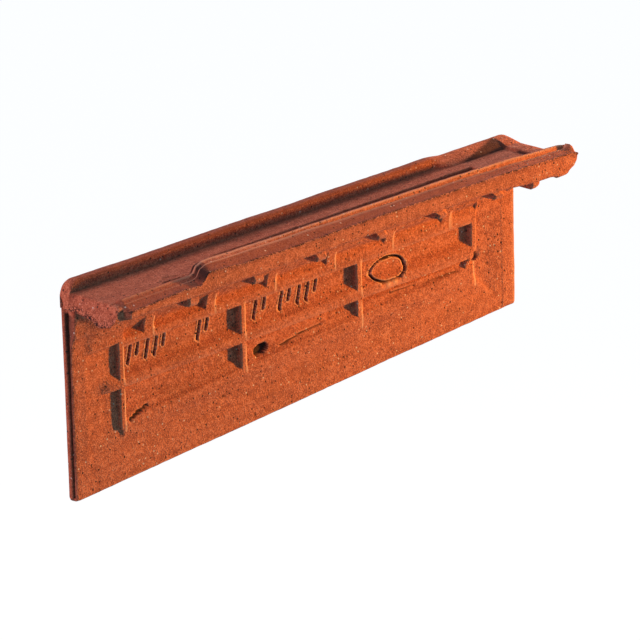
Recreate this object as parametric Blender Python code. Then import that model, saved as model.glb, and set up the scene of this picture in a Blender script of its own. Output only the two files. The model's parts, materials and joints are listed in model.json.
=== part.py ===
"""Verge tile: one pressed clay roof tile for a gable edge, with a hanging apron and a channelled flange.

Sizes are in millimetres and turned into metres once, in to_object. X runs from the tail end to the head,
Y from the flange's lip (minus) to the apron's outer face (zero), and Z = 0 is the floor of the channel.
The finished tile is moved so that its origin is the middle of the batten seat, under the flange.
"""

import math

import bmesh
import bpy
from mathutils import Vector

MM = 0.001

# Apron: the plate that hangs down outside the gable
APRON_LENGTH = 445.5
APRON_THICK = 10.0
FOOT_AT_TAIL = -151.4
FOOT_RISE = 0.0592
FOOT_ROUND = 2.0

# Flange: the plate that lies on the battens, with a channel in its top
HEAD_ROUND_START = 436.0
HEAD_END = 446.0
HEAD_END_AT_LIP = 456.5
HEAD_END_SWEEP = (38.0, 60.0)
FLANGE_DEPTH = 62.8
FLANGE_THICK = 11.0
RIM_HEIGHT = 8.0
RIM_HEIGHT_AT_HEAD = 6.1
RIM_DROP = (355.0, 374.0)
RIM_DROP_AT_HEAD = 4.8
RIM_CORNER = 9.0
RIM_CORNER_DROP = 8.0
RIM_FOOT = 9.8
RIM_FOOT_AT_HEAD = 16.5
LIP_INNER = 46.4
LIP_CREST = (49.2, 51.1)
LIP_WALL = (54.0, 2.0)
SKIRT_BACK = 54.0
JOGGLE = (72.0, 84.0)
COVE_APRON_Z = -36.0
COVE_GROWS = (2.0, 17.0)
GROOVE = (115.0, 382.0)
GROOVE_Y = 30.6
GROOVE_WIDTH = 7.6
GROOVE_DEPTH = 4.2
NOSE_REACH = 2.8
NOSE_DROP = 14.0
TAIL_NOTCH = (6.5, 56.6)

# Heights along the flange's free edge, each at a distance from the tail end
LIP_LINE = ((0.0, 2.8), (72.0, 3.0), (84.0, 10.0), (180.0, 9.0), (330.0, 8.3), (390.0, 7.3), (457.0, 4.4))
BURR_LINE = ((0.0, -3.0), (72.0, -1.5), (84.0, 5.6), (180.0, 2.9), (330.0, 3.0), (457.0, 0.9))
SKIRT_LINE = ((0.0, -9.6), (350.0, -9.6), (430.0, -13.6), (440.0, -16.8), (457.0, -16.4))

# Cross ribs: L-shaped, under the flange and down the apron
CROSS_RIBS = 6
CROSS_RIB_FIRST = 71.6
CROSS_RIB_PITCH = 59.8
CROSS_RIB_WIDTH = 8.0
CROSS_RIB_Z = -18.0
CROSS_RIB_REACH = 57.0
CROSS_RIB_SKEW = (0.0, 3.3, 5.2, 6.6, 8.5, 8.5, 0.0)

# Relief of the apron's inner face: a ladder of ribs left standing between pockets
# Each rail's edge is a line: its height at the tail end and its rise along X
POCKET_DEPTH = 5.6
CELL_DEPTH = 3.4
BAND_DEPTHS = {"tail_band": 3.7, "head_band": 3.0, "foot_band": 1.8}
POCKET_DRAFT = 0.3
UPRIGHTS = (43.4, 161.2, 278.2, 398.4)
UPRIGHT_WIDTH = 3.6
TAIL_MARGIN = 12.5
HEAD_MARGIN = 429.0
TOP_RAIL = ((-46.6, 0.010), (-51.2, 0.0))
MIDDLE_RAIL = ((-75.9, 0.0143), (-80.6, 0.0070))
FOOT_RAIL = ((-108.8, 0.0617), (-112.6, 0.0561))
MARGIN = (-135.4, 0.0520)
SIDE_MARGIN = (-136.0, 0.0520)

# Head nib: the last cross rib, shorter and deeper, that hooks over the batten
NIB_REACH = 46.0
NIB_Z = -25.4
NIB_WIDTH = 9.4

# Head upstand: the channel's floor steps up at the head
UPSTAND_START = (426.5, 429.5)
UPSTAND_HEIGHT = 2.0

# The batten seat is the flat underside between the last two cross ribs
SEAT = Vector((CROSS_RIB_FIRST + (CROSS_RIBS - 0.5) * CROSS_RIB_PITCH, -35.0, -FLANGE_THICK))

CLAY = (0.56, 0.17, 0.06, 1.0)
EPS = 1.0


def blend(x, start, end, low, high):
    """Smooth step from low to high between start and end."""
    t = min(max((x - start) / (end - start), 0.0), 1.0)
    return low + (high - low) * t * t * (3.0 - 2.0 * t)


def table_value(table, at):
    """The value at a distance, from a table of (distance, value) joined by straight lines."""
    for (near, low), (far, high) in zip(table, table[1:]):
        if at <= far:
            return low + (high - low) * max(at - near, 0.0) / (far - near)
    return table[-1][1]


def rail(edge, x):
    height, rise = edge
    return height + rise * x


def foot(x):
    return FOOT_AT_TAIL + FOOT_RISE * x


def rounded(inside, drop):
    """How far a rounded corner has fallen, from 0 where inside is 0 to drop where it is 1."""
    return drop * (1.0 - math.sqrt(max(1.0 - inside * inside, 0.0)))


def past_head(x):
    """0 up to where the head starts to round over, and 1 at its end."""
    return min(max((x - HEAD_ROUND_START) / (HEAD_END - HEAD_ROUND_START), 0.0), 1.0)


def rim_height(x):
    height = blend(x, *RIM_DROP, RIM_HEIGHT, RIM_HEIGHT_AT_HEAD)
    height -= rounded(max(RIM_CORNER - x, 0.0) / RIM_CORNER, RIM_CORNER_DROP)
    return height - rounded(past_head(x), RIM_DROP_AT_HEAD)


def floor_height(x):
    return blend(x, *UPSTAND_START, 0.0, UPSTAND_HEIGHT) - rounded(past_head(x), UPSTAND_HEIGHT)


def arc(centre_y, centre_z, radius_y, radius_z, start, end, steps):
    """Points of an elliptical arc in a section; angles in degrees from +Y."""
    points = []
    for step in range(steps + 1):
        angle = math.radians(start + (end - start) * step / steps)
        points.append((centre_y + radius_y * math.cos(angle), centre_z + radius_z * math.sin(angle)))
    return points


def tile_section(x):
    """The tile's outline across its length at x, as (y, z) points, from the foot round over the rim."""
    rim, low = rim_height(x), foot(x)
    lip, burr, skirt = (table_value(line, x) for line in (LIP_LINE, BURR_LINE, SKIRT_LINE))
    cove = blend(x, *COVE_GROWS, 0.15, 1.0)
    half = APRON_THICK / 2
    wall = blend(x, *RIM_DROP, RIM_FOOT, RIM_FOOT_AT_HEAD)
    floor = floor_height(x)
    wall_foot = min(rim - half, floor)
    return [
        *arc(-FOOT_ROUND, low + FOOT_ROUND, FOOT_ROUND, FOOT_ROUND, -90, 0, 3),
        *arc(-half, rim - half, half, half, 0, 150, 8),
        (-wall, wall_foot + 1.0),
        (-wall - 1.5, wall_foot),
        (-LIP_INNER + 2.0, floor),
        (-LIP_INNER, floor + 1.2),
        (-LIP_INNER - 0.8, lip - 1.2),
        (-LIP_CREST[0], lip),
        (-LIP_CREST[1], lip),
        (-LIP_WALL[0], lip - LIP_WALL[1]),
        (-FLANGE_DEPTH, burr),
        (-FLANGE_DEPTH + 0.9, burr - 2.4),
        *arc(-FLANGE_DEPTH + 4.2, skirt + 3.2, 3.2, 3.2, 180, 270, 3),
        (-SKIRT_BACK, min(skirt + 1.0, -FLANGE_THICK)),
        (-SKIRT_BACK + 3.0, -FLANGE_THICK),
        (-APRON_THICK - 21.0 * cove, -FLANGE_THICK),
        (-APRON_THICK - 11.0 * cove, -FLANGE_THICK - 7.5),
        (-APRON_THICK - 4.5 * cove, COVE_APRON_Z + 6.5),
        (-APRON_THICK, COVE_APRON_Z),
        *arc(-APRON_THICK + 1.5, low + 1.5, 1.5, 1.5, 180, 270, 2),
    ]


def mesh_from_rings(rings):
    """A closed bmesh lofted through rings of points, capped at both ends; points are in millimetres."""
    mesh = bmesh.new()
    loops = [[mesh.verts.new(point) for point in ring] for ring in rings]
    count = len(loops[0])
    for near, far in zip(loops, loops[1:]):
        for i in range(count):
            j = (i + 1) % count
            mesh.faces.new((near[i], near[j], far[j], far[i]))
    mesh.faces.new(loops[0][::-1])
    mesh.faces.new(loops[-1])
    bmesh.ops.recalc_face_normals(mesh, faces=mesh.faces)
    if mesh.calc_volume(signed=True) < 0:
        bmesh.ops.reverse_faces(mesh, faces=mesh.faces)
    return mesh


def to_object(name, mesh, collection):
    """Ends a bmesh as an object in metres, with the batten seat at the origin."""
    bmesh.ops.translate(mesh, verts=mesh.verts, vec=-SEAT)
    bmesh.ops.scale(mesh, verts=mesh.verts, vec=(MM, MM, MM))
    bmesh.ops.triangulate(mesh, faces=[face for face in mesh.faces if len(face.verts) > 4])
    data = bpy.data.meshes.new(name)
    mesh.to_mesh(data)
    mesh.free()
    obj = bpy.data.objects.new(name, data)
    collection.objects.link(obj)
    return obj


def hide_helper(obj):
    obj.hide_render = True
    obj.display_type = "WIRE"
    return obj


def along_x(outline, start, end):
    """A prism: an outline of (y, z) points drawn from start to end along X."""
    return mesh_from_rings([[(x, y, z) for y, z in outline] for x in (start, end)])


def stations():
    """Where the loft has a section: close together where the rim or the lip changes."""
    tail = [RIM_CORNER * (1.0 - math.cos(math.radians(angle))) for angle in range(0, 91, 15)]
    drop = [RIM_DROP[0] + (RIM_DROP[1] - RIM_DROP[0]) * i / 6 for i in range(7)]
    head = [HEAD_ROUND_START + (HEAD_END - HEAD_ROUND_START) * past for past in (0.0, 0.5, 0.8, 1.0)]
    return [*tail, 13.0, COVE_GROWS[1], *JOGGLE, 180.0, 330.0, *drop, 390.0, *UPSTAND_START, *head]


def swept(x, y):
    """Where a station lies at y: the head's end is further out at the lip than at the rim."""
    further = blend(-y, *HEAD_END_SWEEP, 0.0, HEAD_END_AT_LIP - HEAD_END)
    return x + further * past_head(x)


def make_body(collection):
    """The flange and apron as one loft; the apron's part of it is cut off short of the head."""
    rings = [[(swept(x, y), y, z) for y, z in tile_section(x)] for x in stations()]
    return to_object("verge_tile", mesh_from_rings(rings), collection)


def make_nose(collection):
    """The flange's tail end rolls over and down."""
    inside = 3.0
    outline = [
        (inside, 0.0),
        (-NOSE_REACH * 0.45, -1.4),
        (-NOSE_REACH * 0.85, -4.4),
        (-NOSE_REACH, -8.2),
        (-NOSE_REACH * 0.85, -11.0),
        (-NOSE_REACH * 0.4, -NOSE_DROP),
        (inside, -NOSE_DROP),
    ]
    rings = []
    for y, drop, grow in ((-9.0, 0.4, 0.9), (-30.0, 0.2, 1.0), (-48.0, 0.2, 0.95), (-56.0, 0.8, 0.6)):
        rings.append([(x * grow if x < 0 else x, y, z * grow - drop) for x, z in outline])
    return to_object("nose", mesh_from_rings(rings), collection)


def make_cross_rib(name, middle, skew, width, reach, low, collection):
    """One L-shaped rib: along the flange's underside with a rounded front end, then down the apron."""
    top_rail = rail(TOP_RAIL[0], middle) - EPS
    front = 4.5
    outline = [
        (-3.0, -8.0),
        (-3.0, top_rail),
        (-APRON_THICK + 0.2, top_rail),
        (-APRON_THICK - 1.2, -37.0),
        (-APRON_THICK - 4.0, -29.0),
        (-APRON_THICK - 10.0, low - 3.0),
        (-APRON_THICK - 17.0, low),
        *arc(-reach + front, low + front, front, front, 270, 180, 4),
        (-reach, -8.0),
    ]
    rings = []
    for side in (-width / 2, width / 2):
        rings.append([(middle + side - skew * (y + APRON_THICK) / reach, y, z) for y, z in outline])
    return to_object(name, mesh_from_rings(rings), collection)


def make_cross_ribs(collection):
    """The plain cross ribs, and after them the nib at the head."""
    ribs = []
    for index, skew in enumerate(CROSS_RIB_SKEW):
        name, size = f"cross_rib_{index + 1}", (CROSS_RIB_WIDTH, CROSS_RIB_REACH, CROSS_RIB_Z)
        if index == CROSS_RIBS:
            name, size = "head_nib", (NIB_WIDTH, NIB_REACH, NIB_Z)
        middle = CROSS_RIB_FIRST + CROSS_RIB_PITCH * index
        ribs.append(make_cross_rib(name, middle, skew, *size, collection))
    return ribs


def make_head_cut(collection):
    """Takes the apron away past its own end, so that the flange reaches out over it."""
    below, above = foot(0.0) - EPS, -FLANGE_THICK
    cut = along_x(
        [(EPS, below), (EPS, above), (-FLANGE_DEPTH - EPS, above), (-FLANGE_DEPTH - EPS, below)],
        APRON_LENGTH,
        HEAD_END_AT_LIP + EPS,
    )
    return hide_helper(to_object("head_cut", cut, collection))


def make_tail_notch(collection):
    """Takes the flange's front corner away at the tail, where the lip begins."""
    length, inner = TAIL_NOTCH
    outer, low, high = -FLANGE_DEPTH - EPS, -NOSE_DROP - EPS, LIP_LINE[0][1] + EPS
    corners = [(-inner, low), (-inner, high), (outer, high), (outer, low)]
    return hide_helper(to_object("tail_notch", along_x(corners, -EPS, length), collection))


def make_groove(collection):
    """The narrow water groove in the channel's floor."""
    half = GROOVE_WIDTH / 2
    outline = [
        (-GROOVE_Y - half, EPS),
        (-GROOVE_Y - half + 0.6, -GROOVE_DEPTH),
        (-GROOVE_Y + half - 0.6, -GROOVE_DEPTH),
        (-GROOVE_Y + half, EPS),
    ]
    return hide_helper(to_object("groove", along_x(outline, *GROOVE), collection))


def make_pocket(name, start, end, bottom, top, depth, collection):
    """A drafted pocket in the apron's inner face, between two distances along X and two sloping edges."""
    rings = []
    for sunk in (-EPS, depth):
        inset = POCKET_DRAFT * sunk
        x0, x1 = start + inset, end - inset
        corners = [(x0, bottom, inset), (x1, bottom, inset), (x1, top, -inset), (x0, top, -inset)]
        rings.append([(x, sunk - APRON_THICK, rail(edge, x) + inward) for x, edge, inward in corners])
    return hide_helper(to_object(name, mesh_from_rings(rings), collection))


def make_pockets(collection):
    """Two rows of three pockets between the uprights, and bands outside the ladder on three sides."""
    pockets = []
    for index, (left, right) in enumerate(zip(UPRIGHTS, UPRIGHTS[1:])):
        sides = (left + UPRIGHT_WIDTH, right)
        upper, lower = (MIDDLE_RAIL[0], TOP_RAIL[1]), (FOOT_RAIL[0], MIDDLE_RAIL[1])
        pockets.append(make_pocket(f"upper_pocket_{index + 1}", *sides, *upper, POCKET_DEPTH, collection))
        pockets.append(make_pocket(f"lower_pocket_{index + 1}", *sides, *lower, POCKET_DEPTH, collection))
    bands = (
        ("tail_band", TAIL_MARGIN, UPRIGHTS[0], SIDE_MARGIN, TOP_RAIL[1]),
        ("head_band", UPRIGHTS[-1] + UPRIGHT_WIDTH, HEAD_MARGIN, SIDE_MARGIN, TOP_RAIL[1]),
        ("foot_band", TAIL_MARGIN + 5.0, HEAD_MARGIN - 5.0, MARGIN, FOOT_RAIL[1]),
    )
    for name, *sides in bands:
        pockets.append(make_pocket(name, *sides, BAND_DEPTHS[name], collection))
    return pockets


def make_cells(collection):
    """Sloping recesses between the cross ribs, from the top rail up under the flange."""
    cells = []
    low = TOP_RAIL[0][0] + 2.0
    outline = [
        (-APRON_THICK + CELL_DEPTH, low),
        (-APRON_THICK - 14.0, low),
        (-APRON_THICK - 14.0, COVE_APRON_Z + 10.0),
        (-APRON_THICK - 3.0, COVE_APRON_Z + 3.0),
    ]
    half = CROSS_RIB_WIDTH / 2
    middles = [CROSS_RIB_FIRST + CROSS_RIB_PITCH * i for i in range(CROSS_RIBS + 1)]
    spans = [(TAIL_MARGIN + 4.0, middles[0] - half)]
    spans += [(left + half, right - half) for left, right in zip(middles, middles[1:])]
    for index, (start, end) in enumerate(spans):
        cell = to_object(f"cell_{index + 1}", along_x(outline, start, end), collection)
        cells.append(hide_helper(cell))
    return cells


def combine(body, others, operation):
    """Joins or cuts the other objects and the body with one exact Boolean each."""
    for other in others:
        modifier = body.modifiers.new(other.name, "BOOLEAN")
        modifier.operation = operation
        modifier.solver = "EXACT"
        modifier.object = other


def clay_material():
    material = bpy.data.materials.new("clay")
    material.use_nodes = True
    shader = material.node_tree.nodes["Principled BSDF"]
    shader.inputs["Base Color"].default_value = CLAY
    shader.inputs["Roughness"].default_value = 0.85
    return material


def main():
    for obj in list(bpy.data.objects):
        bpy.data.objects.remove(obj)
    collection = bpy.context.scene.collection
    body = make_body(collection)
    body.data.materials.append(clay_material())
    added = [make_nose(collection), *make_cross_ribs(collection)]
    for obj in added:
        hide_helper(obj)
    cut = [*make_pockets(collection), *make_cells(collection), make_groove(collection)]
    combine(body, [make_head_cut(collection), make_tail_notch(collection), *cut], "DIFFERENCE")
    combine(body, added, "UNION")


main()
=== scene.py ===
"""The finished look of the verge tile: one clay tile, its fired surface, and the stage it is seen on.

Sizes are in millimetres, measured as on the drawing: X from the apron's tail end towards the head,
Y from the apron's outer face (zero) out to the flange's lip (minus), Z up from the channel's floor.
place() turns them into the frame's metres.
"""

import bisect
import json
import math

import bmesh
import bpy
from mathutils import Matrix, Vector, noise


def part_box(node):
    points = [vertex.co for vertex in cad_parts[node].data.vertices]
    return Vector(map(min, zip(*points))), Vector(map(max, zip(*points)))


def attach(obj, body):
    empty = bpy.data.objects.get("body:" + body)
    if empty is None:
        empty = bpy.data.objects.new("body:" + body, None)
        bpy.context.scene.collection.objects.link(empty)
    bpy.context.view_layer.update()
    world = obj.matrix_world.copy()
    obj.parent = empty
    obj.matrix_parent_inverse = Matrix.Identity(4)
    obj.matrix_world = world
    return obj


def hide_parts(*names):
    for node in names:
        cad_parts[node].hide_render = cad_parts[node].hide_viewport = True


bl_info = {
    "name": "Verge tile",
    "version": (1, 0, 0),
    "blender": (4, 5, 0),
    "location": "3D View > Sidebar > Verge Tile",
    "description": "Builds a pressed clay verge tile with its channel, apron and stiffening ribs",
    "category": "Add Mesh",
}

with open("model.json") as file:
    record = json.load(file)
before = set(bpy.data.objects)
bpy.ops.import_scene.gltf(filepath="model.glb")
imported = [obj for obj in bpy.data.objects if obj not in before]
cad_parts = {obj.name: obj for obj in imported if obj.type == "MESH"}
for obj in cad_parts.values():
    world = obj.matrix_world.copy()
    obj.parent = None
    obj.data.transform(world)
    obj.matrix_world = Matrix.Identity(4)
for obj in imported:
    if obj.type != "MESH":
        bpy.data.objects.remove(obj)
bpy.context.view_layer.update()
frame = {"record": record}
LOW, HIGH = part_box("verge_tile")
MM = 0.001

# How far the rolled nose stands out past the apron's tail end
NOSE_REACH = 2.8

CHANNEL = next(m for m in frame["record"]["mounts"] if m["name"] == "channel_floor")
CORNER = Vector((LOW.x + NOSE_REACH * MM, HIGH.y, CHANNEL["pos_m"][2]))

# Apron
APRON_LENGTH = 446.0
HEAD_ROUND = 2.4
CREST_Y = -10.0
FOOT = (-151.4, 0.0592)

# Flange: back rim, channel floor, lip and skirt
UNDERSIDE = -11.0
RIM_TALL, RIM_LOW = 8.0, 6.1
RIM_DROP = (355.0, 374.0)
RIM_FOOT, RIM_FOOT_HEAD = 9.8, 16.5
JOGGLE = (72.0, 84.0)
GROOVE = (115.0, 382.0)
GROOVE_Y = -30.6
UPSTAND = (426.5, 429.5)
UPSTAND_HEIGHT = 2.0
TAIL_FLAT = 3.0
HEAD_FLAT = 436.0
HEAD_END, HEAD_END_LIP = 446.0, 456.5

# The lip's crest and the burr along its front, as heights at points along X
LIP = (
    (0.0, -0.2), (6.0, 0.0), (9.0, 2.6), (37.0, 3.0), (72.0, 3.0), (75.5, 3.8), (80.0, 8.6), (85.0, 10.1),
    (92.0, 10.3), (114.0, 9.6), (180.0, 9.0), (330.0, 8.3), (390.0, 7.3), (430.0, 5.4), (457.0, 4.4),
)
# How far the lip's short front wall drops from its crest
LIP_WALL = (
    (0.0, 0.3), (6.0, 0.4), (10.0, 2.2), (72.0, 2.3), (85.0, 1.3), (180.0, 1.6),
    (220.0, 2.4), (330.0, 2.8), (390.0, 3.4), (430.0, 3.0), (457.0, 2.4),
)
BURR = (
    (0.0, -3.4), (18.0, -2.9), (41.0, -1.7), (58.0, -0.9), (72.0, -1.6), (76.0, 0.8), (81.0, 5.9),
    (87.0, 5.3), (119.0, 3.6), (170.0, 2.9), (270.0, 3.4), (375.0, 2.6), (457.0, 0.9),
)
# The lower edge of the flange's front
SKIRT = ((350.0, -9.6), (428.0, -13.4), (432.0, -13.8), (440.0, -16.8), (446.0, -16.4))

# The tail's burr: how low the clay hangs over the end, at each distance out from the outer face
TAIL_BURR = (
    (0.0, -12.0), (9.0, -11.6), (18.0, -9.4), (24.0, -10.8), (32.0, -13.2),
    (41.0, -16.6), (50.0, -14.6), (56.0, -9.4), (61.0, -4.6), (64.0, -3.4),
)

# At the tail the flange's front begins a little way in, and behind this line only the nose goes on
NOTCH_Y = -56.6

# A lump of clay left on the lip's head end: centre, reach and height
KNOB = (455.0, -54.5, 4.6, 4.0)

# Cross ribs and head nib, under the flange and down to the top rail
RIB_FIRST, RIB_PITCH, RIBS = 71.6, 59.8, 6
RIB_HALF = 4.0
RIB_REACH, RIB_LOW = -57.0, -18.0
RIB_SKEW = (0.0, 3.3, 5.2, 6.6, 8.5, 8.5)
NIB_HALF, NIB_REACH, NIB_LOW = 4.7, -46.0, -25.4
WALL = 0.9
FACE_TOP = -32.0

# Cells between the ribs: how deep each is above the top rail, and the height where it begins
CELLS = ((4.6, -33.0), (4.7, -31.5), (3.8, -32.5), (3.0, -33.5), (2.6, -34.5), (2.6, -34.5), (2.0, -35.0))

# The ladder on the inner face: uprights as (start, end) of their crest, and the rails' lines as
# (height at the tail, rise along X)
UPRIGHTS = ((43.8, 47.0), (161.4, 164.8), (278.2, 281.8), (398.4, 402.4))
TOP_RAIL = ((-46.6, 0.010), (-51.2, 0.000))
MIDDLE_RAIL = ((-75.9, 0.0143), (-80.6, 0.0070))
LEDGE = (-99.8, 0.0601)
FOOT_RAIL = ((-108.8, 0.0617), (-112.6, 0.0561))
MARGIN = (-135.4, 0.0520)
PANEL_Y, TAIL_PANEL_Y, HEAD_PANEL_Y, BOTTOM_PANEL_Y = -4.4, -6.3, -7.0, -8.2
TAIL_MARGIN_Y, HEAD_MARGIN_Y, FOOT_MARGIN_Y = -8.7, -9.9, -9.3


def place(x, y, z):
    """A point of the drawing, in the frame's metres."""
    return CORNER + Vector((x, y, z)) * MM


def smooth(t):
    t = min(max(t, 0.0), 1.0)
    return t * t * (3.0 - 2.0 * t)


def blend(x, start, end, low, high):
    return low + (high - low) * smooth((x - start) / (end - start))


def mix(a, b, t):
    return a + (b - a) * t


def line(rule, x):
    """A line on the inner face, as its height at x."""
    return rule[0] + rule[1] * x


def ramp(t):
    """An even slope from 0 to 1 with eased ends."""
    t = min(max(t, 0.0), 1.0)
    return 0.35 * smooth(t) + 0.65 * t


def rounded(inside, drop):
    return drop * (1.0 - math.sqrt(max(1.0 - inside * inside, 0.0)))


def arc(centre_y, centre_z, radius_y, radius_z, start, end, steps):
    points = []
    for step in range(steps + 1):
        angle = math.radians(mix(start, end, step / steps))
        points.append((centre_y + radius_y * math.cos(angle), centre_z + radius_z * math.sin(angle)))
    return points


def span(start, end, steps):
    """Evenly spaced values from start to end."""
    return [mix(start, end, step / steps) for step in range(steps + 1)]


def along(points, steps):
    """A polyline of (y, z) points resampled to equal lengths."""
    lengths = [0.0]
    for a, b in zip(points, points[1:]):
        lengths.append(lengths[-1] + math.dist(a, b))
    out = []
    for step in range(steps + 1):
        at = lengths[-1] * step / steps
        i = min(bisect.bisect_right(lengths, at), len(points) - 1)
        part = (at - lengths[i - 1]) / max(lengths[i] - lengths[i - 1], 1e-9)
        out.append(tuple(mix(p, q, part) for p, q in zip(points[i - 1], points[i])))
    return out


# --- the flange -----------------------------------------------------------------------------------


def past_head(x):
    return min(max((x - HEAD_FLAT) / (HEAD_END - HEAD_FLAT), 0.0), 1.0)


def rim_height(x):
    height = blend(x, *RIM_DROP, RIM_TALL, RIM_LOW)
    height += blend(x, 424.0, 438.0, 0.0, -0.4)
    return height - rounded(past_head(x), 4.8) - rounded(min(max((9.0 - x) / 9.0, 0.0), 1.0), 7.7)


def foot_height(x):
    corner = min(max((4.5 - x) / 4.5, 0.0), 1.0)
    return line(FOOT, x) + rounded(corner, 4.0)


def floor_height(x):
    return blend(x, *UPSTAND, 0.0, UPSTAND_HEIGHT) - rounded(past_head(x), UPSTAND_HEIGHT + 0.5)


def table_value(table, at):
    for (a, low), (b, high) in zip(table, table[1:]):
        if at <= b:
            return mix(low, high, smooth((at - a) / (b - a)))
    return table[-1][1]


def lip_height(x):
    return table_value(LIP, x) - rounded(past_head(x), 1.0)


def burr_height(x):
    return table_value(BURR, x) - rounded(past_head(x), 2.0)


def skirt_height(x):
    return table_value(SKIRT, x)


def groove_depth(x, y):
    """The water groove: crisp along both sides and at both ends."""
    across = smooth((4.1 - abs(y - GROOVE_Y)) / 0.8)
    ends = smooth((x - GROOVE[0]) / 3.0) * smooth((GROOVE[1] - x) / 1.5)
    return 4.2 * across * ends


def slot_depth(x, y):
    """The narrow fold behind the low lip, just short of where the high lip begins."""
    off = abs(y + 43.2 + 0.04 * (x - 64.0))
    return 3.6 * smooth((2.1 - off) / 0.7) * smooth((x - 55.0) / 9.0) * smooth((76.5 - x) / 2.5)


def swell(x, y):
    """A low curved ridge on the floor by the fold."""
    off = math.hypot((x - 66.0) / 13.0, (y + 44.0) / 9.5) - 1.0
    return 1.1 * smooth(1.0 - abs(off) / 0.16) * smooth((y + 42.0) / 3.0) * smooth((x - 53.0) / 4.0)


def rim_rows(x):
    """Over the back rim, from the outer face to the floor."""
    rim, low = rim_height(x), floor_height(x)
    wall = blend(x, *RIM_DROP, RIM_FOOT, RIM_FOOT_HEAD)
    boxy = blend(x, *RIM_DROP, 0.42, 1.6)
    turn = blend(x, 420.0, 440.0, 5.0, 2.6)
    rows = arc(-turn, rim - 5.0, turn, 5.0, 0, 90, 6)
    for step in span(0.0, 90.0, 12)[1:]:
        angle = math.radians(step)
        rows.append(
            (
                -turn - (wall - turn) * math.sin(angle) ** boxy,
                low + (rim - low) * max(math.cos(angle), 0.0) ** boxy,
            )
        )
    return rows


FLOOR_Y = (
    [-18.5, -20.5, -23.0, -25.5]
    + [GROOVE_Y + side for side in (4.4, 4.0, 3.6, 3.2, 1.6, 0.0, -1.6, -3.2, -3.6, -4.0, -4.4)]
    + [-36.6, -38.0, -39.2, -40.2, -40.8, -41.2, -41.6, -42.2, -43.6, -45.2]
)


def floor_rows(x):
    low = floor_height(x)
    return [(y, low - groove_depth(x, y) - slot_depth(x, y) + swell(x, y)) for y in FLOOR_Y]


def lip_rows(x):
    """Up the lip's inner wall, over its crest, down its short wall and out to the burr."""
    low, lip, burr = floor_height(x), lip_height(x), burr_height(x)
    bend = max(lip - table_value(LIP_WALL, x), burr + 0.6)
    out = blend(x, 75.0, 190.0, -54.2, -52.2)
    inner = [(-46.4, low + 0.1), (-47.2, low + 0.5), (-47.8, mix(low, lip, 0.6))]
    crest = [(-48.4, lip - 0.5), (-49.2, lip - 0.1), (-50.2, lip), (-50.7, lip - 0.06), (-51.1, lip - 0.35)]
    wall = [(mix(-51.1, out, across), mix(lip, bend, down)) for across, down in ((0.45, 0.5), (0.85, 0.9))]
    wall += [(out, bend), (out - 0.5, bend - 0.06)]
    falls = ((-55.3, 0.15), (-57.2, 0.40), (-59.2, 0.68), (-61.0, 0.92))
    front = [(y, mix(bend - 0.1, burr, part)) for y, part in falls]
    tip = [(-62.0, burr + 0.25), (-62.8, burr + 0.1), (-62.7, burr - 0.6), (-62.0, burr - 1.0)]
    return inner + crest + wall + front + tip


def skirt_rows(x):
    """Down the flange's front and round its lower edge."""
    burr, skirt = burr_height(x), skirt_height(x)
    front = [(-61.7, mix(burr - 1.3, skirt + 3.0, part)) for part in (0.0, 0.3, 0.65, 1.0)]
    return front + arc(-58.6, skirt + 3.0, 3.0, 3.0, 180, 262, 4)[1:]


# --- under the flange and down into the cells ---------------------------------------------------------

UNDER_STEPS, COVE_STEPS = 11, 11
COVE = [(-31.0, UNDERSIDE), (-26.0, -13.0), (-21.8, -18.0), (-18.6, -24.5), (-15.6, -29.5), (-13.4, FACE_TOP)]


def cell_path(skirt):
    """Between two ribs: flat under the flange, then a cove that runs down to the inner face."""
    under = [(-57.6, skirt), (-54.5, min(skirt + 1.0, UNDERSIDE)), (-51.0, UNDERSIDE), (-31.0, UNDERSIDE)]
    return along(under, UNDER_STEPS) + along(COVE, COVE_STEPS)[1:]


def rib_path(skirt, reach, low):
    """Down a cross rib's rounded front end, along its foot, and down to the inner face."""
    front = [(-57.6, skirt), (reach - 0.3, skirt + 0.6), (reach, mix(skirt, low, 0.45))]
    front += arc(reach + 3.6, low + 3.4, 3.6, 3.4, 180, 270, 4)[1:]
    cove = [(-29.0, low), (-24.0, low - 1.5), (-19.0, min(low - 6.5, -25.5))]
    cove += [(-15.8, -29.4), (-13.4, FACE_TOP)]
    return along(front + [(-29.0, low)], UNDER_STEPS) + along(cove, COVE_STEPS)[1:]


def rib_middle(index):
    return RIB_FIRST + RIB_PITCH * index


def rib_mask(x, middle, half):
    """1 on a rib and 0 off it, with a wall that leans a little."""
    return smooth((half + WALL - abs(x - middle)) / WALL)


def rib_skew(x):
    """How far the ribs' front ends stand towards the head at x."""
    at = min(max((x - RIB_FIRST) / RIB_PITCH, 0.0), RIBS - 1.001)
    first = int(at)
    return mix(RIB_SKEW[first], RIB_SKEW[first + 1], at - first) * smooth((424.0 - x) / 40.0)


def mix_paths(a, b, t):
    return [(mix(p[0], q[0], t), mix(p[1], q[1], t)) for p, q in zip(a, b)]


def under_rows(x):
    skirt = skirt_height(x)
    rows = cell_path(skirt)
    for index in range(RIBS + 1):
        size = (RIB_HALF, RIB_REACH, RIB_LOW) if index < RIBS else (NIB_HALF, NIB_REACH, NIB_LOW)
        mask = rib_mask(x, rib_middle(index), size[0])
        if index == RIBS and x > rib_middle(index):
            mask = smooth((NIB_HALF + WALL - x + rib_middle(index)) / 3.4)
        if mask > 0.0:
            rows = mix_paths(rows, rib_path(skirt, size[1], size[2]), mask)
    narrow = mix(0.12, 1.0, smooth((x - 2.0) / 26.0))
    return rows[:UNDER_STEPS + 1] + [(-12.4 + (y + 12.4) * narrow, z) for y, z in rows[UNDER_STEPS + 1:]]


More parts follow.
